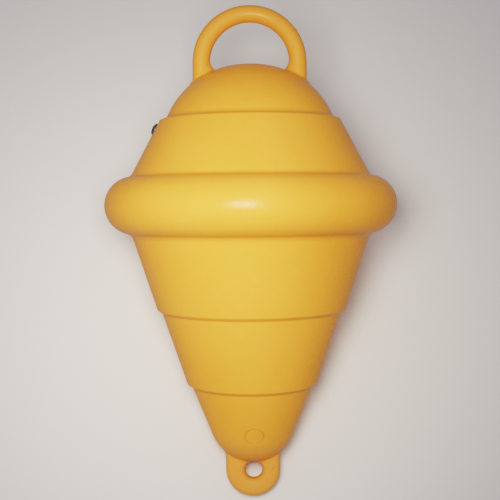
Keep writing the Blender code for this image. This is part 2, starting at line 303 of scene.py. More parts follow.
@dataclass
class Blank:
    """A closed blank whose own smooth normals are kept for the faces that it leaves on the finished piece."""

    made: bpy.types.Object
    tree: BVHTree = field(init=False)
    corners: list[list[int]] = field(init=False)
    places: list[Vector] = field(init=False)
    normals: list[Vector] = field(init=False)

    def __post_init__(self) -> None:
        """Keeps the blank's points, faces and normals in the upright frame."""
        mesh, place = self.made.data, self.made.matrix_basis
        turn = place.to_3x3()
        self.places = [place @ vertex.co for vertex in mesh.vertices]
        self.normals = [turn @ vertex.normal for vertex in mesh.vertices]
        self.corners = [list(polygon.vertices) for polygon in mesh.polygons]
        self.tree = BVHTree.FromPolygons(self.places, self.corners)

    def distance(self, point: Vector) -> float:
        """How far a point lies from the blank's surface."""
        return self.tree.find_nearest(point)[3]

    def normal(self, point: Vector, facing: Vector) -> Vector:
        """Reads the blank's smooth normal.

        Args:
            point: A point on its surface.
            facing: The normal of the face that asks, because a cut turns the blank inside out.

        Returns:
            The normal there, on the side that faces the same way.
        """
        near, _, index, _ = self.tree.find_nearest(point)
        around = self.corners[index]
        weights = poly_3d_calc([self.places[i] for i in around], near)
        found = sum((self.normals[i] * weight for i, weight in zip(around, weights)), Vector())
        return found.normalized() if found.dot(facing) >= 0 else -found.normalized()


@dataclass
class Casting:
    """Joins and cuts blanks into one skin, and gives each face the normals of the blank that it came from."""

    base: Blank
    others: list[tuple[Blank, Joint]]

    def merge(self, name: str, seams: Sequence[tuple[Vector, float]]) -> bpy.types.Object:
        """Makes the finished piece.

        Args:
            name: The piece's name.
            seams: Centre and radius of each ball round a seam, where the normals need care.

        Returns:
            The piece.
        """
        target = self.base.made
        for other, joint in self.others:
            modifier = target.modifiers.new(other.made.name, "BOOLEAN")
            modifier.object = other.made
            modifier.operation = joint.value
            modifier.solver = "MANIFOLD"
        bpy.context.view_layer.update()
        graph = bpy.context.evaluated_depsgraph_get()
        mesh = bpy.data.meshes.new_from_object(target.evaluated_get(graph))
        mesh.name = name
        piece = bpy.data.objects.new(name, mesh)
        bpy.context.scene.collection.objects.link(piece)
        self._dress_normals(mesh, seams)
        for blank in [self.base] + [other for other, _ in self.others]:
            bpy.data.objects.remove(blank.made)
        return piece

    def _dress_normals(self, mesh: bpy.types.Mesh, seams: Sequence[tuple[Vector, float]]) -> None:
        """Sets the normals near the seams from the blanks, and leaves the others to the mesh.

        Args:
            mesh: The finished mesh.
            seams: Centre and radius of each ball round a seam.
        """
        blanks = [self.base] + [other for other, _ in self.others]
        mesh.shade_smooth()
        wanted = [Vector()] * len(mesh.loops)
        for polygon in mesh.polygons:
            middle = polygon.center
            if not any((middle - centre).length < reach for centre, reach in seams):
                continue
            owner = min(blanks, key=lambda blank: blank.distance(middle))
            for loop in polygon.loop_indices:
                place = mesh.vertices[mesh.loops[loop].vertex_index].co
                wanted[loop] = owner.normal(place, polygon.normal)
        mesh.normals_split_custom_set(wanted)


# Sizes and blanks of the moulded body

@dataclass
class PartingLine:
    """The low ridge where the two halves of the mould met, in the plane of the handle and the lug."""

    proud: float = 0.28 * MM
    half_width: float = 0.7 * MM
    margin: float = 1.7 * MM

    def columns(self, radius: float, count: int) -> list[float]:
        """Angles round a quarter of a circle, crowded at the ridge.

        Args:
            radius: The circle's radius.
            count: How many columns a quarter has.

        Returns:
            The angles, from the ridge to a right angle.
        """
        step = QUARTER / count
        near = [0.0]
        for i, width in enumerate((self.half_width, self.margin), start=1):
            near.append(min(math.asin(min(1.0, width / max(radius, 1e-9))), i * step))
        rest = [near[-1] + (QUARTER - near[-1]) * i / (count - 2) for i in range(1, count - 1)]
        return near + rest


@dataclass
class TurnedBody:
    """The turned float, from the dome over the ring to the nose."""

    ring_radius: float = 0.1600
    ring_section: float = 0.0316
    ring_upper_crease: float = 0.0080
    ring_lower_crease: float = 0.0105
    dome_top: float = 0.1532
    crown_radius: float = 0.128
    side_radius: float = 0.0937
    crown_angle: float = math.radians(8.2)
    dome_foot: float = 0.0956
    shoulder_radius: float = 0.0990
    shoulder_slope: float = math.radians(23.7)
    shoulder_edge: float = 0.0015
    upper_cone: float = math.radians(28.0)
    cone_edge: float = 0.0020
    step_slope: float = math.radians(34)
    cone_1: float = math.radians(18.0)
    cone_1_foot: tuple[float, float] = (0.1041, -0.1145)
    step_1: float = 0.0053
    cone_2: float = math.radians(18.7)
    cone_2_foot: float = -0.1970
    step_2: float = 0.0055
    nose_radius: float = 0.0485
    nose_bottom: float = -0.2848
    row_pitch: float = 0.0040
    crown_steps: int = 12
    side_steps: int = 30
    edge_steps: int = 6
    crease_steps: int = 8
    ring_steps: int = 60
    nose_steps: int = 24
    columns: int = 60
    seam: PartingLine = field(default_factory=PartingLine)

    def ring_centre(self) -> Vector:
        """Centre of the ring's round section."""
        return Vector((self.ring_radius - self.ring_section, 0))

    def crown_centre(self) -> Vector:
        """Centre of the dome's flatter crown."""
        return Vector((0, self.dome_top - self.crown_radius))

    def side_centre(self) -> Vector:
        """Centre of the dome's rounder side."""
        lean = Vector((math.sin(self.crown_angle), math.cos(self.crown_angle)))
        return self.crown_centre() + lean * (self.crown_radius - self.side_radius)

    def nose_centre(self) -> Vector:
        """Centre of the nose."""
        return Vector((0, self.nose_bottom + self.nose_radius))

    def dome_distance(self, point: Vector) -> float:
        """How far a point lies outside the dome's side."""
        side = self.side_centre()
        return math.hypot(math.hypot(point.x, point.y) - side.x, point.z - side.y) - self.side_radius

    def shoulder(self) -> tuple[Vector, float, Vector]:
        """Works out the shoulder under the dome.

        Returns:
            The dome's foot, its angle on the dome's side, and the shoulder's edge.
        """
        side = self.side_centre()
        foot_angle = math.asin((self.dome_foot - side.y) / self.side_radius)
        foot = Vector((side.x + self.side_radius * math.cos(foot_angle), self.dome_foot))
        drop = (self.shoulder_radius - foot.x) * math.tan(self.shoulder_slope)
        return foot, foot_angle, Vector((self.shoulder_radius, self.dome_foot - drop))

    def lower_corners(self) -> tuple[Vector, Vector, Vector, Vector]:
        """Works out the corners of the two steps.

        Returns:
            The outer and inner corner of each step, from the top down.
        """
        step = Vector((-1, -math.tan(self.step_slope)))
        first = Vector(self.cone_1_foot)
        first_in = first + step * self.step_1
        second_radius = first_in.x - (first_in.y - self.cone_2_foot) * math.tan(self.cone_2)
        second = Vector((second_radius, self.cone_2_foot))
        return first, first_in, second, second + step * self.step_2

    def nose_lean(self) -> float:
        """Lean of the lowest cone, which runs tangent into the nose."""
        across = self.lower_corners()[3] - self.nose_centre()
        return math.atan2(across.x, across.y) - math.asin(self.nose_radius / across.length)

    def low_radius(self, height: float) -> float:
        """Reads the outline below the second step.

        Args:
            height: A height on the lowest cone or on the nose.

        Returns:
            The radius there.
        """
        corner, lean = self.lower_corners()[3], self.nose_lean()
        if height > self.nose_centre().y - self.nose_radius * math.sin(lean):
            return corner.x - (corner.y - height) * math.tan(lean)
        return math.sqrt(self.nose_radius ** 2 - (height - self.nose_centre().y) ** 2)

    def crease(self, edge: Vector, along: Vector, radius: float) -> list[Vector]:
        """Blends a cone into the ring.

        Args:
            edge: A point on the cone.
            along: The direction from it to the ring.
            radius: Radius of the blend.

        Returns:
            The blend's points, from the cone to the ring.
        """
        outward = Vector((abs(along.y), -along.x * math.copysign(1, along.y)))
        base = edge + outward * radius - self.ring_centre()
        reach = self.ring_section + radius
        middle = base.dot(along)
        distance = -middle - math.sqrt(middle * middle - base.length_squared + reach * reach)
        centre = self.ring_centre() + base + along * distance
        on_ring = self.ring_centre() + (centre - self.ring_centre()) * self.ring_section / reach
        return short_arc(centre, centre - outward * radius, on_ring, self.crease_steps)

    def outline(self) -> list[Vector]:
        """Draws the turned outline.

        Returns:
            Its points, from the dome's top to the nose's bottom.
        """
        foot, foot_angle, edge = self.shoulder()
        first, first_in, second, second_in = self.lower_corners()
        up_1 = Vector((math.sin(self.cone_1), math.cos(self.cone_1)))
        up_2 = Vector((math.sin(self.cone_2), math.cos(self.cone_2)))
        lean = self.nose_lean()
        up_3 = Vector((math.sin(lean), math.cos(lean)))
        down = Vector((math.sin(self.upper_cone), -math.cos(self.upper_cone)))
        upper = self.crease(edge, down, self.ring_upper_crease)
        lower = self.crease(first, up_1, self.ring_lower_crease)
        top, bottom = upper[-1] - self.ring_centre(), lower[-1] - self.ring_centre()
        top_angle, bottom_angle = math.atan2(top.y, top.x), math.atan2(bottom.y, bottom.x)
        crown_end = QUARTER - self.crown_angle

        points = arc(self.crown_centre(), self.crown_radius, QUARTER, crown_end, self.crown_steps)
        points += arc(self.side_centre(), self.side_radius, crown_end, foot_angle, self.side_steps)[1:]
        points += rounded(foot, edge, edge + down, self.shoulder_edge, self.edge_steps)
        points += upper
        points += arc(self.ring_centre(), self.ring_section, top_angle, bottom_angle, self.ring_steps)[1:-1]
        points += reversed(lower)
        points += rounded(first + up_1, first, first_in, self.cone_edge, self.edge_steps)
        points += rounded(first, first_in, second, self.cone_edge, self.edge_steps)
        points += rounded(second + up_2, second, second_in, self.cone_edge, self.edge_steps)
        points += rounded(second, second_in, second_in - up_3, self.cone_edge, self.edge_steps)
        points += arc(self.nose_centre(), self.nose_radius, -lean, -QUARTER, self.nose_steps)
        points[0].x = points[-1].x = 0
        return filled_in(points, self.row_pitch)

    def blank(self) -> Blank:
        """Turns the outline, with the parting line raised on both sides.

        Returns:
            The turned blank.
        """
        points = self.outline()
        count = self.columns
        ridges = (0, 2 * count)
        rows = []
        for i, point in enumerate(points):
            if i in (0, len(points) - 1):
                rows.append([Vector((0, 0, point.y))] * (4 * count))
                continue
            along = (points[i + 1] - points[i - 1]).normalized()
            out = Vector((-along.y, along.x))
            quarter = self.seam.columns(point.x, count)
            half = quarter + [math.pi - angle for angle in reversed(quarter[:-1])]
            angles = half + [math.pi + angle for angle in half[1:-1]]
            row = []
            for j, angle in enumerate(angles):
                place = point + out * (self.seam.proud if j in ridges else 0)
                row.append(Vector((place.x * math.cos(angle), place.x * math.sin(angle), place.y)))
            rows.append(row)
        return Blank(skin("turned_blank", rows, Ends.POLES))


@dataclass
class Handle:
    """The arched bar over the dome, with a short straight leg at each end."""

    body: TurnedBody
    arch_radius: float = 0.0529
    arch_centre: float = 0.1552
    bar_width: float = 0.0186
    bar_depth: float = 0.0205
    inner_fillet: float = 0.0135
    outer_fillet: float = 0.0040
    face_fillet: float = 0.0022
    least_near: float = 0.02
    nib: float = 0.0011
    nib_stretch: float = 1.6
    nib_angle: float = math.radians(34.3)
    arch_steps: int = 90
    leg_steps: int = 34
    bar_steps: int = 48
    overlap: float = 0.004

    def fillet(self, angle: float) -> float:
        """Works out the fillet at the bar's root.

        Args:
            angle: Angle round the bar, which is 0 on the inside of the arch.

        Returns:
            The fillet's radius there.
        """
        inside, outside = max(0.0, math.cos(angle)) ** 2, max(0.0, -math.cos(angle)) ** 2
        spread = (self.inner_fillet - self.face_fillet) * inside
        return self.face_fillet + spread + (self.outer_fillet - self.face_fillet) * outside

    def flare(self, distance: float, fillet: float) -> float:
        """How far a fillet stands off the bar at a distance from the dome."""
        near = max(distance, self.least_near * fillet)
        return 0.0 if near >= fillet else fillet - math.sqrt(fillet ** 2 - (fillet - near) ** 2)

    def section(self, place: Vector, inward: Vector) -> list[Vector]:
        """Draws the bar's section.

        Args:
            place: Its middle.
            inward: Direction to the inside of the arch.

        Returns:
            A loop round the bar, swollen near the dome and raised at the parting line.
        """
        seam = self.body.seam
        squeeze = seam.half_width / (self.bar_depth / 2)
        loop = []
        for i, angle in enumerate(full_turn(self.bar_steps)):
            beside = i % (self.bar_steps // 2)
            if beside == 1:
                angle -= 2 * math.pi / self.bar_steps - squeeze
            if beside == self.bar_steps // 2 - 1:
                angle += 2 * math.pi / self.bar_steps - squeeze
            offset = inward * (math.cos(angle) * self.bar_width / 2)
            offset += Vector((0, math.sin(angle) * self.bar_depth / 2, 0))
            point = place + offset
            proud = seam.proud if beside == 0 else 0.0
            swell = self.flare(self.body.dome_distance(point), self.fillet(angle))
            loop.append(point + offset.normalized() * (swell + proud))
        return loop

    def nib_blank(self) -> Blank:
        """Makes the scrap of flash that stands on the outside of the arch, on the right.

        Returns:
            Its blank.
        """
        out = Vector((math.cos(self.nib_angle), 0, math.sin(self.nib_angle)))
        along, depth = Vector((-out.z, 0, out.x)) * self.nib * self.nib_stretch, Vector((0, self.nib, 0))
        centre = Vector((0, 0, self.arch_centre)) + out * (self.arch_radius + self.bar_width / 2)
        return Blank(pebble("nib_blank", centre, along, depth, out * self.nib))

    def leg_heights(self) -> list[float]:
        """Spaces the loops of a leg.

        Returns:
            Their heights, from inside the dome to just short of the arch.
        """
        outer = self.arch_radius + self.bar_width / 2 + self.overlap
        side = self.body.side_centre()
        low = side.y + math.sqrt(self.body.side_radius ** 2 - (outer - side.x) ** 2) - self.overlap
        rise = (self.arch_centre - low) / self.leg_steps
        return [low - self.overlap] + [low + rise * i for i in range(self.leg_steps)]

    def blank(self) -> Blank:
        """Skins the bar from one leg over the arch to the other.

        Returns:
            The handle's blank.
        """
        right, centre = Vector((1, 0, 0)), Vector((0, 0, self.arch_centre))
        loops = [self.section(Vector((-self.arch_radius, 0, z)), right) for z in self.leg_heights()]
        for i in range(self.arch_steps + 1):
            angle = math.pi * (1 - i / self.arch_steps)
            out = Vector((math.cos(angle), 0, math.sin(angle)))
            loops.append(self.section(centre + out * self.arch_radius, -out))
        for z in reversed(self.leg_heights()):
            loops.append(self.section(Vector((self.arch_radius, 0, z)), -right))
        return Blank(skin("handle_blank", loops, Ends.FLAT))


@dataclass
class Lug:
    """The flat lug under the nose, with rounded rims and its eye."""

    body: TurnedBody
    half_width: float = 0.0298
    thickness: float = 0.0160
    end_drop: float = 0.0100
    rim_fillet: float = 0.0060
    root_fillet: float = 0.0170
    eye_radius: float = 0.0096
    eye_fillet: float = 0.0060
    eye_drop: float = 0.0007
    eye_offset: float = 0.0009
    eye_lip: float = 0.0002
    root_start: float = 0.05
    root_steps: int = 14
    end_steps: int = 56
    rim_steps: int = 12
    eye_steps: int = 96
    overlap: float = 0.004

    def eye_centre(self) -> Vector:
        """Middle of the eye."""
        return Vector((self.eye_offset, 0, self.body.nose_bottom - self.end_drop - self.eye_drop))

    def outline(self, inset: float) -> list[Vector]:
        """Draws the lug from the front.

        Args:
            inset: How far the outline is drawn in.

        Returns:
            A loop in X and Z.
        """
        root_x = self.half_width + self.root_fillet
        nose = self.body.nose_centre()
        reach = self.body.nose_radius + self.root_fillet
        root = Vector((root_x, nose.y - math.sqrt(reach ** 2 - root_x ** 2)))
        to_nose = math.atan2(nose.y - root.y, nose.x - root.x)
        side = arc(root, self.root_fillet + inset, to_nose + self.root_start, math.pi, self.root_steps)
        top = side[0] + Vector((-self.overlap, 2 * self.overlap))
        end_centre = Vector((0, self.body.nose_bottom - self.end_drop))
        end = arc(end_centre, self.half_width - inset, 0, -math.pi, self.end_steps)
        right = [top] + side
        return right + end + [Vector((-point.x, point.y)) for point in reversed(right)]

    def blank(self) -> Blank:
        """Skins the lug from face to face, with the parting line raised round its rim.

        Returns:
            The lug's blank, without its eye.
        """
        half, seam = self.thickness / 2, self.body.seam
        rims = []
        for i in range(self.rim_steps + 1):
            angle = QUARTER * i / self.rim_steps
            inset, back = 1 - math.sin(angle), 1 - math.cos(angle)
            rims.append((self.rim_fillet * inset, half - self.rim_fillet * back))
        rims.append((0.0, seam.half_width))
        sections = [(inset, -y) for inset, y in rims] + [(-seam.proud, 0.0)]
        sections += [(inset, y) for inset, y in reversed(rims)]
        loops = [[Vector((point.x, y, point.y)) for point in self.outline(inset)] for inset, y in sections]
        return Blank(skin("lug_blank", loops, Ends.FLAT))

    def eye_blank(self) -> Blank:
        """Makes the eye's cutter, which is waisted because the rims are rounded.

        Returns:
            The cutter.
        """
        half, wide = self.thickness / 2, self.eye_radius + self.eye_fillet
        bore = []
        for i in range(self.rim_steps):
            angle = QUARTER * i / self.rim_steps
            height = half - self.eye_fillet + self.eye_fillet * math.sin(angle)
            bore.append((wide - self.eye_fillet * math.cos(angle), height))
        bore += [(wide + self.eye_lip, half + self.eye_lip / 2), (wide + self.eye_lip, half + self.overlap)]
        points = [(radius, -height) for radius, height in reversed(bore)] + bore
        rows = []
        for radius, height in points:
            angles = full_turn(self.eye_steps)
            ring = [Vector((radius * math.cos(angle), height, radius * math.sin(angle))) for angle in angles]
            rows.append([self.eye_centre() + point for point in ring])
        return Blank(skin("eye_blank", rows, Ends.FLAT))


@dataclass
class InsertMark:
    """The round groove that an insert in the mould leaves low on the front, with a pip on it. The finish adds
    a darker dash on the groove's top.
    """

    body: TurnedBody
    radius: float = 0.0102
    flat: float = 0.93
    rise: float = 0.0367
    offset: float = 0.0017
    groove: float = 0.0009
    lift: float = 0.00035
    pip: float = 0.0009
    pip_turn: float = 0.10
    pip_sunk: float = 0.00015
    steps: int = 96
    sides: int = 12

    def on_skin(self, turn: float, radius: float) -> tuple[Vector, Vector, Vector]:
        """Finds a place on the skin round the mark's centre.

        Args:
            turn: Angle round the mark, from the right.
            radius: Distance from the mark's centre.

        Returns:
            The place, the direction out from the mark's centre and the skin's outward direction.
        """
        lean = self.body.nose_lean()
        height = self.body.nose_bottom + self.rise
        up = Vector((0, -math.sin(lean), math.cos(lean)))
        out = Vector((0, -math.cos(lean), -math.sin(lean)))
        ray = Vector((math.cos(turn), 0, 0)) + up * math.sin(turn) * self.flat
        flat = Vector((self.offset, -self.body.low_radius(height), height)) + ray * radius
        depth = math.sqrt(self.body.low_radius(flat.z) ** 2 - flat.x ** 2)
        return Vector((flat.x, -depth, flat.z)), ray, out

    def half_sizes(self) -> tuple[float, float, float]:
        """Half axes of the groove's middle line, as a thin ball."""
        return self.radius, self.radius, self.radius * self.flat

    def groove_blank(self) -> Blank:
        """Makes the thin ring that cuts the groove.

        Returns:
            The cutter.
        """
        rows = []
        for turn in full_turn(self.steps):
            place, ray, out = self.on_skin(turn, self.radius)
            row = []
            for angle in full_turn(self.sides):
                height = self.lift + self.groove * math.sin(angle)
                row.append(place + out * height + ray * self.groove * math.cos(angle))
            rows.append(row)
        return Blank(skin("groove_blank", rows, Ends.LOOP))

    def pip_blank(self) -> Blank:
        """Makes the small round pip at the bottom of the groove.

        Returns:
            Its blank.
        """
        place, ray, out = self.on_skin(-QUARTER + self.pip_turn, self.radius)
        side = ray.cross(out).normalized()
        centre = place - out * self.pip_sunk
        return Blank(pebble("pip_blank", centre, ray * self.pip, side * self.pip, out * self.pip))


@dataclass
class PlugSeat:
    """The flat on the upper cone where the plug sits, and the blind hole for its stem."""

    body: TurnedBody
    height: float = 0.0831
    seat_radius: float = 0.0083
    seat_depth: float = 0.0005
    hole_radius: float = 0.0050
    hole_depth: float = 0.0133
    above: float = 0.004
    flare: float = 0.0002
    foot: float = 0.0003
    chamfer: float = 0.0004
    steps: int = 72

    def place(self) -> Matrix:
        """Finds the plug's place on the upper cone.

        Returns:
            A frame on the skin at the left, with its Z along the cone's outward direction.
        """
        _, _, edge = self.body.shoulder()
        radius = edge.x + (edge.y - self.height) * math.tan(self.body.upper_cone)
        turn = Matrix.Rotation(self.body.upper_cone - QUARTER, 4, "Y")
        return Matrix.Translation((-radius, 0, self.height)) @ turn

    def blank(self) -> Blank:
        """Makes the cutter for the flat and the hole.

        Returns:
            The cutter.
        """
        floor = -self.seat_depth
        line = [
            (0.0, self.above), (self.seat_radius + self.flare, self.above),
            (self.seat_radius, floor + self.flare), (self.seat_radius - self.foot, floor),
            (self.hole_radius + self.chamfer, floor), (self.hole_radius, floor - self.chamfer),
            (self.hole_radius, -self.hole_depth), (0.0, -self.hole_depth),
        ]
        return Blank(turned("seat_blank", line, self.steps, self.place()))


def turned(name: str, line: Sequence[tuple[float, float]], steps: int, place: Matrix) -> bpy.types.Object:
    """Turns a line of radius and height round a frame's own Z.

    Args:
        name: The new object's name.
        line: The line, from one end of the axis to the other.
        steps: How many columns go round.
        place: The frame.

    Returns:
        The closed object, with its points in the upright frame.
    """
    rows = []
    for radius, height in line:
        angles = full_turn(steps)
        rows.append([place @ Vector((radius * math.cos(a), radius * math.sin(a), height)) for a in angles])
    return skin(name, rows, Ends.POLES)


# Finishes

@dataclass(frozen=True)
class Canvas:
    """A material's node tree, and the socket of the upright drawing's coordinates in it."""

    tree: bpy.types.NodeTree
    place: bpy.types.NodeSocket


@dataclass(frozen=True)
class Pattern:
    """A noise pattern, by the real size of its features."""

    size_mm: float
    detail: float
    roughness: float = 0.5

    def values(self, canvas: Canvas) -> bpy.types.NodeSocket:
        """Adds the pattern to a material.

        Args:
            canvas: Where it is added.

        Returns:
            The socket of its values.
        """
        settings = {"Scale": per_metre(self.size_mm), "Detail": self.detail, "Roughness": self.roughness}
        return add_node(canvas.tree, "ShaderNodeTexNoise", settings, {"Vector": canvas.place}).outputs["Fac"]


@dataclass(frozen=True)
class Relief:
    """A pattern that stands up from the skin."""

    pattern: Pattern
    strength: float
    depth_mm: float


@dataclass(frozen=True)
class Spot:
    """A ball or egg round a place on the skin, inside which a value differs.

    Distances from its middle are counted in parts of the half sizes. A hollow spot follows the egg's shell,
    and its distances are counted from there.
    """

    at: Vector
    half_sizes: tuple[float, float, float]
    turn: tuple[float, float, float] = (0.0, 0.0, 0.0)
    hollow: bool = False

    def values(
        self, canvas: Canvas, fade: tuple[float, float], inside: float, outside: float
    ) -> bpy.types.NodeSocket:
        """Adds the spot to a material.

        Args:
            canvas: Where it is added.
            fade: The distances at which the change begins and ends.
            inside: The value in the spot.
            outside: The value round it.

        Returns:
            The socket of its values.
        """
        drawn = {"vector_type": "TEXTURE", "Location": self.at, "Rotation": self.turn}
        drawn["Scale"] = self.half_sizes
        local = add_node(canvas.tree, "ShaderNodeMapping", drawn, {"Vector": canvas.place})
        steps = [("ShaderNodeVectorMath", {"operation": "LENGTH"})]
        if self.hollow:
            steps.append(("ShaderNodeMath", {"operation": "SUBTRACT", "1": 1.0}))
            steps.append(("ShaderNodeMath", {"operation": "ABSOLUTE"}))
        away = local.outputs["Vector"]
        for kind, settings in steps:
            away = add_node(canvas.tree, kind, settings, {"0": away}).outputs["Value"]
        change = {"From Min": fade[0], "From Max": fade[1], "To Min": inside, "To Max": outside}
        change["interpolation_type"] = "SMOOTHSTEP"
        return add_node(canvas.tree, "ShaderNodeMapRange", change, {"Value": away}).outputs["Result"]


@dataclass(frozen=True)
class Tint:
    """A colour laid over the skin in a spot, how much of it shows at most, and where it fades."""

    colour: str
    strength: float
    fade: tuple[float, float]


@dataclass(frozen=True)
class Landmarks:
    """The parts of the moulding that its finish follows."""

    mark: InsertMark
    lug: Lug
    handle: Handle


@dataclass(frozen=True)
class BlowMouldedPolyethylene:
    """Yellow high-density polyethylene, blow moulded against a blasted steel mould.

    The pigment runs through the wall. To the eye it is a satin skin with one soft highlight where it faces
    the light, a fine grain and a low ripple from the mould that break the highlight's edge, and slow waves
    where the wall cooled. Ropes and shackles have dulled the handle and the lug. The colour also carries
    painted shade: darker over the handle's crest and the whole lug, where the key light falls off, and
    darker along the insert mark's groove.
    """

    colour: str = "#EFA855"
    paler: str = "#F2AC59"
    deeper: str = "#ECA451"
    deeper_at: float = 0.45
    colour_at: float = 0.72
    paler_at: float = 1.0
    # painted shade: a darker, bluer colour over the handle's crest and the whole lug, where the key light
    # falls off
    handle_painted_shade: Tint = Tint("#E5A163", 0.4, (0.9, 1.7))
    lug_painted_shade: Tint = Tint("#E5A163", 0.7, (0.8, 2.6))
    # painted shade: a darker, redder line along the insert mark's groove, as if shade lay in it
    groove: Tint = Tint("#E48B54", 0.8, (0.02, 0.085))
    # a darker dash on the groove's top
    dark_dash: Tint = Tint("#B98252", 0.7, (0.3, 1.0))
    pip: Tint = Tint("#FFC75E", 0.9, (0.5, 1.3))
    scuff: Tint = Tint("#B9803A", 0.5, (0.2, 1.0))
    ior: float = 1.51
    gloss: float = 0.17
    roughness: float = 0.28
    smoother: float = 0.05
    rougher: float = 0.07
    mottle: Pattern = Pattern(9.0, 4.0, 0.6)
    mottle_share: float = 0.45
    mottle_span: tuple[float, float] = (0.3, 0.7)
    drift: Pattern = Pattern(90.0, 2.0)
    wave: Relief = Relief(Pattern(34.0, 1.5), 0.5, 0.9)
    ripple: Relief = Relief(Pattern(3.2, 2.0), 0.6, 0.14)
    grain: Relief = Relief(Pattern(1.1, 3.0), 0.20, 0.04)
    dark_dash_turn: float = 1.65
    dark_dash_sizes: tuple[float, float, float] = (0.0028, 0.0020, 0.0008)
    rub_aside: float = 0.0216
    rub_above: float = 0.0030
    rub_turn: float = math.radians(38)
    rub_sizes: tuple[float, float, float] = (0.0013, 0.0040, 0.0052)
    # place and size of the painted shade over the handle's crest and the lug
    painted_shade_drop: float = 0.008
    handle_painted_shade_sizes: tuple[float, float, float] = (0.075, 0.060, 0.050)
    lug_painted_shade_sizes: tuple[float, float, float] = (0.034, 0.030, 0.034)
    wear: float = 0.28
    wear_foot: float = -0.004
    wear_full: float = 0.020
    grip_aside: float = 0.007
    grip_sizes: tuple[float, float, float] = (0.012, 0.030, 0.030)
    grip_fade: tuple[float, float] = (0.5, 1.9)
    worn_eye: tuple[float, float, float] = (0.024, 0.020, 0.024)
    eye_fade: tuple[float, float] = (0.8, 1.2)

    def tints(self, marks: Landmarks) -> tuple[tuple[Spot, Tint], ...]:
        """Lists the tints from the lowest to the uppermost.

        Args:
            marks: Where they lie.

        Returns:
            The spot of each and the tint.
        """
        mark, lug, handle = marks.mark, marks.lug, marks.handle
        lean = (mark.body.nose_lean(), 0.0, 0.0)
        crest = Vector((0, 0, handle.arch_centre + handle.arch_radius - self.painted_shade_drop))
        middle = mark.on_skin(0, 0)[0]
        dark_dash = mark.on_skin(self.dark_dash_turn, mark.radius)[0]
        pip = mark.on_skin(mark.pip_turn - QUARTER, mark.radius)[0]
        rub = lug.eye_centre() + Vector((self.rub_aside, -lug.thickness / 2, self.rub_above))
        return (
            # painted shade over the handle's crest and the lug, then painted shade along the groove
            (Spot(crest, self.handle_painted_shade_sizes), self.handle_painted_shade),
            (Spot(lug.eye_centre(), self.lug_painted_shade_sizes), self.lug_painted_shade),
            # the groove's tint is painted shade in the recess
            (Spot(middle, mark.half_sizes(), lean, hollow=True), self.groove),
            (Spot(dark_dash, self.dark_dash_sizes, lean), self.dark_dash),
            (Spot(pip, (mark.pip,) * 3, lean), self.pip),
            (Spot(rub, self.rub_sizes, (0.0, self.rub_turn, 0.0)), self.scuff),
        )

    def tinted(self, canvas: Canvas, mottle: bpy.types.NodeSocket, marks: Landmarks) -> bpy.types.NodeSocket:
        """Mixes the three shades of the pigment and lays the tints over them.

        Args:
            canvas: Where they are added.
            mottle: The small blotches.
            marks: Where the tints lie.

        Returns:
            The colour.
        """
        cloud = add_node(
            canvas.tree, "ShaderNodeMath", {"operation": "MULTIPLY_ADD", "1": self.mottle_share},
            {"0": mottle, "2": self.drift.values(canvas)},
        )
        ramp = add_node(canvas.tree, "ShaderNodeValToRGB", {}, {"Fac": cloud.outputs["Value"]})
        shades = ramp.color_ramp.elements
        shades[0].position, shades[0].color = self.deeper_at, linear(self.deeper)
        shades[1].position, shades[1].color = self.paler_at, linear(self.paler)
        shades.new(self.colour_at).color = linear(self.colour)
        colour = ramp.outputs["Color"]
        for spot, tint in self.tints(marks):
            share = spot.values(canvas, tint.fade, tint.strength, 0.0)
            mix = {"data_type": "RGBA", "7": linear(tint.colour)}
            colour = add_node(canvas.tree, "ShaderNodeMix", mix, {"0": share, "6": colour}).outputs[2]
        return colour

    def worn(self, canvas: Canvas, mottle: bpy.types.NodeSocket, marks: Landmarks) -> bpy.types.NodeSocket:
        """Works out how dull the skin is: blotchy, and worn round the eye and on the handle beside its grip.

        Args:
            canvas: Where it is added.
            mottle: The small blotches.
            marks: Where the handle and the eye lie.

        Returns:
            The roughness.
        """
        handle = marks.handle
        span = {"From Min": self.mottle_span[0], "From Max": self.mottle_span[1]}
        span |= {"To Min": self.roughness - self.smoother, "To Max": self.roughness + self.rougher}
        blotch = add_node(canvas.tree, "ShaderNodeMapRange", span, {"Value": mottle})
        height = add_node(canvas.tree, "ShaderNodeSeparateXYZ", {}, {"Vector": canvas.place}).outputs["Z"]
        on_handle = add_node(
            canvas.tree, "ShaderNodeMapRange",
            {"interpolation_type": "SMOOTHSTEP", "From Min": handle.arch_centre + self.wear_foot,
             "From Max": handle.arch_centre + self.wear_full}, {"Value": height},
        )
        grip = Vector((self.grip_aside, -handle.bar_depth / 2, handle.arch_centre + handle.arch_radius))
        off_grip = Spot(grip, self.grip_sizes).values(canvas, self.grip_fade, 0.0, self.wear)
        eye = Spot(marks.lug.eye_centre(), self.worn_eye)
        by_eye = eye.values(canvas, self.eye_fade, self.wear, 0.0)
        upper = add_node(
            canvas.tree, "ShaderNodeMath", {"operation": "MULTIPLY_ADD"},
            {"0": on_handle.outputs["Result"], "1": off_grip, "2": blotch.outputs["Result"]},
        )
        both = {"0": upper.outputs["Value"], "1": by_eye}
        return add_node(canvas.tree, "ShaderNodeMath", {"operation": "ADD"}, both).outputs["Value"]

    def uneven(self, canvas: Canvas) -> bpy.types.NodeSocket:
        """Lays the waves, the ripple and the grain over one another.

        Args:
            canvas: Where they are added.

        Returns:
            The normal.
        """
        below = {}
        for relief in (self.wave, self.ripple, self.grain):
            size = {"Strength": relief.strength, "Distance": relief.depth_mm * MM}
            height = relief.pattern.values(canvas)
            bump = add_node(canvas.tree, "ShaderNodeBump", size, {"Height": height, **below})
            below = {"Normal": bump.outputs["Normal"]}
        return below["Normal"]

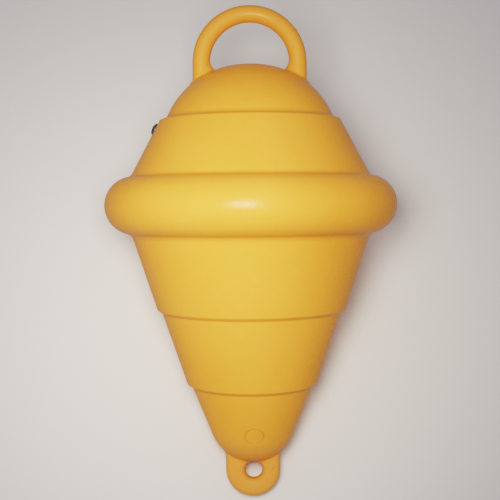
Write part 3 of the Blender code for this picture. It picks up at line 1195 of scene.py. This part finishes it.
    def material(self, marks: Landmarks) -> bpy.types.Material:
        """Builds the node tree.

        Args:
            marks: The parts that the tints and the wear follow.

        Returns:
            The material.
        """
        made, tree, shader = new_material("polyethylene_blow_moulded_yellow")
        canvas = Canvas(tree, upright_coordinates(tree))
        mottle = self.mottle.values(canvas)
        tree.links.new(self.tinted(canvas, mottle, marks), shader.inputs["Base Color"])
        tree.links.new(self.worn(canvas, mottle, marks), shader.inputs["Roughness"])
        tree.links.new(self.uneven(canvas), shader.inputs["Normal"])
        shader.inputs["IOR"].default_value = self.ior
        shader.inputs["Specular IOR Level"].default_value = self.gloss
        return made


@dataclass(frozen=True)
class MouldedPlugPlastic:
    """Dark blue-black polypropylene, injection moulded in a polished mould.

    To the eye it is smooth, with a sharp small highlight.
    """

    colour: str = "#39404E"
    paler: str = "#565B66"
    ior: float = 1.49
    roughness: float = 0.30
    smoother: float = 0.06
    rougher: float = 0.12
    haze: Pattern = Pattern(2.5, 3.0)

    def material(self) -> bpy.types.Material:
        """Builds the node tree.

        Returns:
            The material.
        """
        made, tree, shader = new_material("polypropylene_moulded_dark")
        haze = self.haze.values(Canvas(tree, upright_coordinates(tree)))
        tint = add_node(tree, "ShaderNodeValToRGB", {}, {"Fac": haze})
        tint.color_ramp.elements[0].color = linear(self.colour)
        tint.color_ramp.elements[1].color = linear(self.paler)
        span = {"To Min": self.roughness - self.smoother, "To Max": self.roughness + self.rougher}
        rough = add_node(tree, "ShaderNodeMapRange", span, {"Value": haze})
        tree.links.new(tint.outputs["Color"], shader.inputs["Base Color"])
        tree.links.new(rough.outputs["Result"], shader.inputs["Roughness"])
        shader.inputs["IOR"].default_value = self.ior
        return made


@dataclass(frozen=True)
class StudioPaper:
    """Matt pale background paper, rolled smooth, which shows soft shadows and no highlight."""

    colour: str = "#ECF2FB"
    roughness: float = 0.95
    gloss: float = 0.2

    def material(self) -> bpy.types.Material:
        """Builds the node tree.

        Returns:
            The material.
        """
        made, _, shader = new_material("background_paper_matt")
        shader.inputs["Base Color"].default_value = linear(self.colour)
        shader.inputs["Roughness"].default_value = self.roughness
        shader.inputs["Specular IOR Level"].default_value = self.gloss
        return made


# The pieces as they lie

@dataclass(frozen=True)
class RestPose:
    """Where the upright drawing lies in the frame, read from the record's lug face.

    The face is that mount's place in the upright drawing.
    """

    face: tuple[float, float, float] = (0.0, -0.008, -0.3149)

    def matrix(self) -> Matrix:
        """Fits the drawn lug face to the record's.

        Returns:
            The transform from the upright drawing to the frame.
        """
        mounts = frame["record"]["mounts"]
        mount = next(mount for mount in mounts if mount["name"] == "lug_front_face")
        right, back = Vector((1, 0, 0)), -Vector(mount["axis"]).normalized()
        turn = Matrix((right, back, right.cross(back))).transposed()
        return Matrix.Translation(Vector(mount["pos_m"]) - turn @ Vector(self.face)) @ turn.to_4x4()


@dataclass
class BuoyBody:
    """The whole yellow moulding. The reaches are the radii round each seam in which the normals need care."""

    body: TurnedBody = field(default_factory=TurnedBody)
    finish: BlowMouldedPolyethylene = field(default_factory=BlowMouldedPolyethylene)
    root_height: float = 0.135
    root_reach: float = 0.032
    bore_reach: float = 0.060
    lug_reach: float = 0.050
    mark_reach: float = 0.016
    seat_reach: float = 0.016

    def build(self, rest: Matrix) -> bpy.types.Object:
        """Joins the blanks into the moulding and dresses it.

        Args:
            rest: The transform that lays it down.

        Returns:
            The piece.
        """
        handle, lug = Handle(self.body), Lug(self.body)
        mark, seat = InsertMark(self.body), PlugSeat(self.body)
        holed = Casting(lug.blank(), [(lug.eye_blank(), Joint.CUT)])
        lug_piece = Blank(holed.merge("lug_holed", [(lug.eye_centre(), self.bore_reach)]))
        casting = Casting(
            self.body.blank(),
            [
                (handle.blank(), Joint.JOINED), (handle.nib_blank(), Joint.JOINED), (lug_piece, Joint.JOINED),
                (seat.blank(), Joint.CUT), (mark.groove_blank(), Joint.CUT), (mark.pip_blank(), Joint.JOINED),
            ],
        )
        roots = [Vector((side * handle.arch_radius, 0, self.root_height)) for side in (-1, 1)]
        seams = [(root, self.root_reach) for root in roots]
        seams += [
            (lug.eye_centre(), self.lug_reach), (mark.on_skin(0, 0)[0], self.mark_reach),
            (seat.place().translation, self.seat_reach),
        ]
        piece = casting.merge("moulded_body", seams)
        piece.data.materials.clear()
        piece.data.materials.append(self.finish.material(Landmarks(mark, lug, handle)))
        lay_down(piece, rest, "buoy_body")
        return piece


@dataclass
class FillerPlug:
    """The dark push-in plug: a domed head with a thin rim on a barbed stem."""

    seat: PlugSeat
    head_radius: float = 0.0071
    proud: float = 0.0040
    rim: float = 0.0010
    stem_radius: float = 0.0042
    stem_length: float = 0.0125
    barb: float = 0.0005
    clearance: float = 0.0003
    edge: float = 0.0001
    tip_chamfer: float = 0.001
    barbs: int = 3
    barb_run: tuple[float, float, float] = (0.8, 0.9, 1.4)
    dome_steps: int = 16
    steps: int = 72
    sharp: float = math.radians(40)
    finish: MouldedPlugPlastic = field(default_factory=MouldedPlugPlastic)

    def line(self) -> list[tuple[float, float]]:
        """Draws the line that is turned into the plug.

        Returns:
            Radii and heights, from the top of its head to the tip of its stem.
        """
        under = self.clearance - self.seat.seat_depth
        dome = self.proud - under - self.rim
        points = []
        for i in range(self.dome_steps + 1):
            angle = QUARTER * (1 - i / self.dome_steps)
            radius = (self.head_radius - self.clearance) * math.cos(angle)
            points.append((radius, under + self.rim + dome * math.sin(angle)))
        points += [
            (self.head_radius - self.edge, under + self.rim),
            (self.head_radius, under + self.rim - self.edge),
            (self.head_radius, under + self.edge),
            (self.head_radius - self.edge, under),
            (self.stem_radius, under),
        ]
        pitch = (self.stem_length - self.clearance) / (self.barbs + 1)
        for i in range(self.barbs):
            above, peak, below = (under - pitch * (i + share) for share in self.barb_run)
            points += [(self.stem_radius, above), (self.stem_radius + self.barb, peak)]
            points.append((self.stem_radius, below))
        tip = -self.seat.seat_depth - self.stem_length + self.clearance
        points += [(self.stem_radius, tip + self.tip_chamfer), (self.stem_radius - self.tip_chamfer, tip)]
        return points + [(0.0, tip)]

    def build(self, rest: Matrix) -> bpy.types.Object:
        """Turns the plug and dresses it.

        Args:
            rest: The transform that lays it down.

        Returns:
            The piece.
        """
        piece = turned("filler_plug_head", self.line(), self.steps, self.seat.place())
        piece.data.set_sharp_from_angle(angle=self.sharp)
        piece.data.materials.append(self.finish.material())
        lay_down(piece, rest, "filler_plug")
        return piece


# Studio

@dataclass
class Studio:
    """Floor, light and camera, whose places are those of the upright drawing."""

    photo_px: float = 500.0
    lens_px: float = 980.0
    horizon_px: float = 50.0
    distance: float = 1.0828
    raised: float = 0.0050
    aside: float = -0.0013
    roll: float = math.radians(0.5)
    sensor: float = 36.0
    floor_half: float = 6.0
    key_place: tuple[float, float, float] = (-0.064, -0.745, 0.034)
    key_target: tuple[float, float, float] = (-0.085, 0.0, -0.05)
    key_size: tuple[float, float] = (0.20, 0.24)
    key_power: float = 1.05
    key_spread: float = math.radians(76)
    key_colour: str = "#FFF1DA"
    air_colour: str = "#FFF1EC"
    air_strength: float = 0.325

    def add_floor(self) -> None:
        """Lays wide pale paper, which no gloss reflects, because the photograph's edges are dark."""
        bm = bmesh.new()
        bmesh.ops.create_grid(bm, x_segments=2, y_segments=2, size=self.floor_half)
        mesh = bpy.data.meshes.new("studio_floor")
        bm.to_mesh(mesh)
        bm.free()
        floor = bpy.data.objects.new("studio_floor", mesh)
        floor.data.materials.append(StudioPaper().material())
        floor.visible_glossy = False
        bpy.context.scene.collection.objects.link(floor)

    def add_lights(self, rest: Matrix) -> None:
        """Hangs the key softbox near the camera, and sets a dim even fill.

        Args:
            rest: The transform of the upright drawing.
        """
        place, target = rest @ Vector(self.key_place), rest @ Vector(self.key_target)
        data = bpy.data.lights.new("key_softbox", "AREA")
        data.shape = "RECTANGLE"
        data.size, data.size_y = self.key_size
        data.energy = self.key_power
        data.spread = self.key_spread
        data.color = linear(self.key_colour)[:3]
        lamp = bpy.data.objects.new("key_softbox", data)
        lamp.location = place
        lamp.visible_camera = False
        lamp.rotation_euler = (target - place).to_track_quat("-Z", "Y").to_euler()
        bpy.context.scene.collection.objects.link(lamp)
        world = bpy.data.worlds.new("studio_air")
        world.use_nodes = True
        back = world.node_tree.nodes["Background"]
        back.inputs["Color"].default_value = linear(self.air_colour)
        back.inputs["Strength"].default_value = self.air_strength
        bpy.context.scene.world = world

    def add_camera(self, rest: Matrix) -> None:
        """Sets the camera that took the photograph.

        Args:
            rest: The transform of the upright drawing, in which the camera is placed.
        """
        pitch = math.atan(self.horizon_px / self.lens_px)
        ahead = Vector((0, math.cos(pitch), -math.sin(pitch)))
        level, above = Vector((1, 0, 0)), Vector((0, math.sin(pitch), math.cos(pitch)))
        right = level * math.cos(self.roll) - above * math.sin(self.roll)
        up = above * math.cos(self.roll) + level * math.sin(self.roll)
        turn = Matrix((right, up, -ahead)).transposed().to_4x4()
        place = Matrix.Translation((self.aside, -self.distance, self.raised))
        data = bpy.data.cameras.new("photo_camera")
        data.sensor_width = self.sensor
        data.lens = self.lens_px / self.photo_px * self.sensor
        data.clip_start, data.clip_end = 0.01, 50.0
        camera = bpy.data.objects.new("photo_camera", data)
        camera.matrix_world = rest @ place @ turn
        bpy.context.scene.collection.objects.link(camera)
        bpy.context.scene.camera = camera


def main() -> None:
    """Builds the pieces in order and sets the studio round them."""
    logging.basicConfig(level=logging.INFO, format="%(name)s: %(message)s")
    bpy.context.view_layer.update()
    rest = RestPose().matrix()
    body = BuoyBody()
    made = body.build(rest)
    log.info("%s: %d faces", made.name, len(made.data.polygons))
    plug = FillerPlug(PlugSeat(body.body)).build(rest)
    log.info("%s: %d faces", plug.name, len(plug.data.polygons))
    studio = Studio()
    studio.add_floor()
    studio.add_lights(rest)
    studio.add_camera(rest)
    bpy.context.scene.view_settings.view_transform = "Filmic"
    bpy.context.scene.view_settings.look = "Very High Contrast"


if __name__ == "__main__":
    main()
